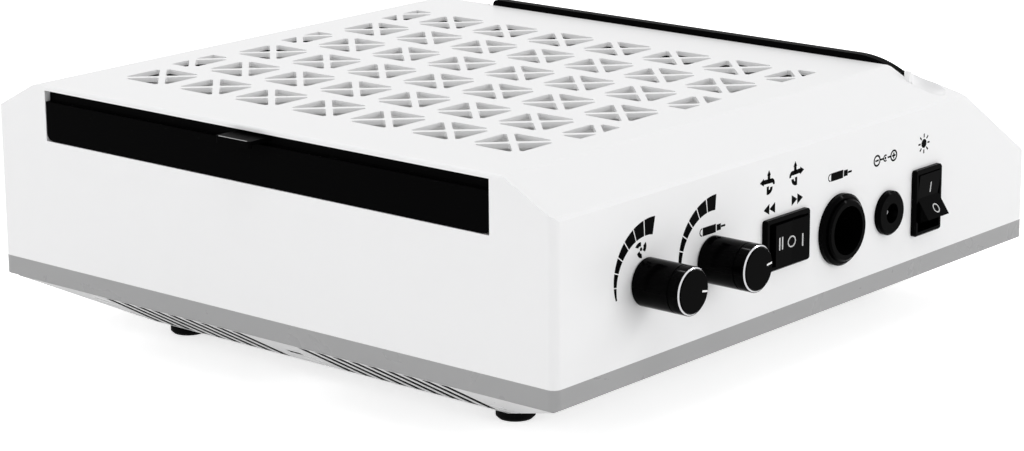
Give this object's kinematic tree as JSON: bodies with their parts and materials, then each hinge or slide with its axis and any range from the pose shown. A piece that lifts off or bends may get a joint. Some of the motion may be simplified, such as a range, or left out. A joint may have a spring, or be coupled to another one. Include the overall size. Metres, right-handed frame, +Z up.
{
  "type": "nail drill controller and dust collector",
  "caption": "Low desk unit with a grille over a filter drawer and fan, a fold-up lamp, and knobs, rocker switches and sockets on one flank for a nail drill.",
  "frame": {"origin": "on the surface it stands on, under the middle of the whole bounding box", "axes": "+X out of the flank with the controls, -Y out of the front where the filter drawer opens, +Z up"},
  "size_m": [0.2476, 0.2502, 0.0862],
  "materials": {
    "white_shell": "satin",
    "grey_base": "fine matt",
    "black_plastic": "semi-gloss",
    "black_rubber": "matt",
    "filter_paper": "woolly",
    "guide_plastic": "matt",
    "bright_ring": "bright",
    "steel": "plated",
    "brass": "plain",
    "board_green": "lacquered",
    "aluminium_can": "plain",
    "winding": "enamelled",
    "clear_lens": "frosted",
    "led_strip": "plain"
  },
  "bodies": {
    "housing": {"top_housing": "white_shell", "base_tray": "grey_base", "foot_front_right": "black_rubber", "foot_front_left": "black_rubber", "foot_rear_right": "black_rubber", "foot_rear_left": "black_rubber", "housing_screws": "steel", "filter_guide": "guide_plastic", "air_funnel": "guide_plastic", "fan_frame": "black_plastic", "fan_bush": "brass", "fan_stator": "winding", "fan_screws": "steel", "fan_pot": "aluminium_can", "motor_pot": "aluminium_can", "pot_nuts": "steel", "control_board": "board_green", "capacitors": "aluminium_can", "direction_switch": "black_plastic", "direction_terminals": "brass", "lamp_switch": "black_plastic", "lamp_terminals": "brass", "motor_socket": "black_plastic", "motor_socket_insert": "black_plastic", "motor_socket_nut": "steel", "power_jack": "black_plastic", "power_jack_pin": "steel", "power_jack_nut": "steel", "lamp_pin": "steel"},
    "drawer": {"filter_frame": "black_plastic", "filter_pleats": "filter_paper"},
    "rotor": {"fan_rotor": "black_plastic", "fan_shaft": "steel"},
    "fan_speed_knob": {"fan_knob": "black_plastic", "fan_knob_ring": "bright_ring", "fan_pot_shaft": "aluminium_can"},
    "motor_speed_knob": {"motor_knob": "black_plastic", "motor_knob_ring": "bright_ring", "motor_pot_shaft": "aluminium_can"},
    "direction_paddle": {"direction_rocker": "black_plastic"},
    "lamp_paddle": {"lamp_rocker": "black_plastic"},
    "lamp": {"lamp_case": "black_plastic", "lamp_lens": "clear_lens", "lamp_led_strip": "led_strip"}
  },
  "joints": [
    {"name": "drawer_slide", "type": "slide", "parent": "housing", "child": "drawer", "axis": [0, -1, 0], "range_m": [0, 0.165]},
    {"name": "fan_spin", "type": "hinge", "parent": "housing", "child": "rotor", "pos_m": [-0.0085, -0.0235, 0.0315], "axis": [0, 0, 1], "continuous": true},
    {"name": "fan_speed", "type": "hinge", "parent": "housing", "child": "fan_speed_knob", "pos_m": [0.10675, -0.0777, 0.04865], "axis": [1, 0, 0], "range_deg": [-50, 250]},
    {"name": "motor_speed", "type": "hinge", "parent": "housing", "child": "motor_speed_knob", "pos_m": [0.10675, -0.0471, 0.04865], "axis": [1, 0, 0], "range_deg": [-66, 234]},
    {"name": "direction_rock", "type": "hinge", "parent": "housing", "child": "direction_paddle", "pos_m": [0.10215, -0.0113, 0.04695], "axis": [0, 0, 1], "range_deg": [-14, 14]},
    {"name": "lamp_switch_rock", "type": "hinge", "parent": "housing", "child": "lamp_paddle", "pos_m": [0.10215, 0.0646, 0.0443], "axis": [0, 1, 0], "range_deg": [0, 28]},
    {"name": "lamp_swing", "type": "hinge", "parent": "housing", "child": "lamp", "pos_m": [0.0842, 0.0731, 0.0762], "axis": [0, 1, 0], "range_deg": [0, 90]}
  ]
}
